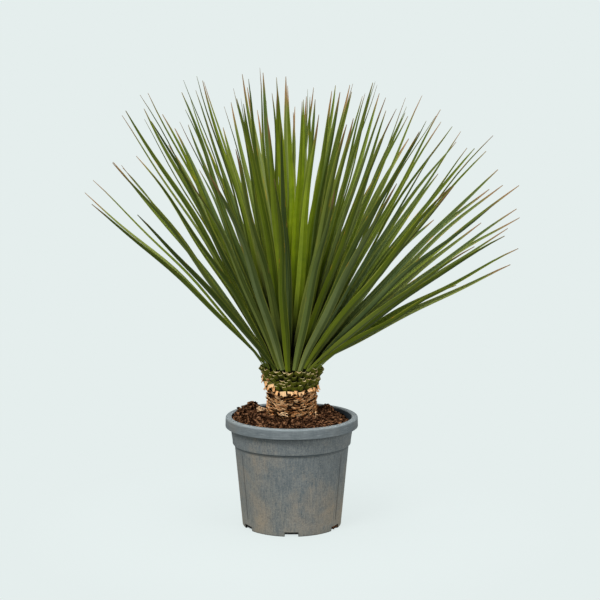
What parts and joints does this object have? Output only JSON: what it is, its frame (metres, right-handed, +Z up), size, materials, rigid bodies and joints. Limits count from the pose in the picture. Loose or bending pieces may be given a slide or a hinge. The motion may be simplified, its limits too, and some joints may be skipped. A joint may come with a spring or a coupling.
{
  "type": "potted nolina",
  "caption": "Potted nolina: a round rosette of stiff sword leaves on a short stem of trimmed leaf bases, in a tapered plastic nursery pot filled with dark soil.",
  "frame": {"origin": "centre of the flat pad under the pot's floor, on the pot's axis and level with the underside of the foot", "axes": "+Z up along the pot's axis; -Y towards the viewer of the picture; +X to the right in the picture"},
  "size_m": [0.7914, 0.7254, 0.8201],
  "materials": {
    "pot_plastic": "weathered blue-grey moulded plastic with dust stains",
    "soil": "loose, coarse, dark red-brown potting soil, matt",
    "dry_leaf_base": "dry, torn, fibrous brown leaf bases, matt",
    "trimmed_leaf_base": "fresh green trimmed leaf bases, satin",
    "leaf": "stiff leathery blue-green and olive leaf, satin",
    "young_leaf": "young yellow-green leaf, satin"
  },
  "bodies": {
    "root": {"pot": "pot_plastic", "soil": "soil", "stem": "dry_leaf_base", "leaf_base_collar": "trimmed_leaf_base", "lowest_leaves": "leaf", "lower_leaves": "leaf", "middle_leaves": "leaf", "upper_leaves": "leaf", "inner_leaves": "leaf", "innermost_leaves": "leaf", "heart_leaves": "young_leaf"}
  },
  "joints": []
}
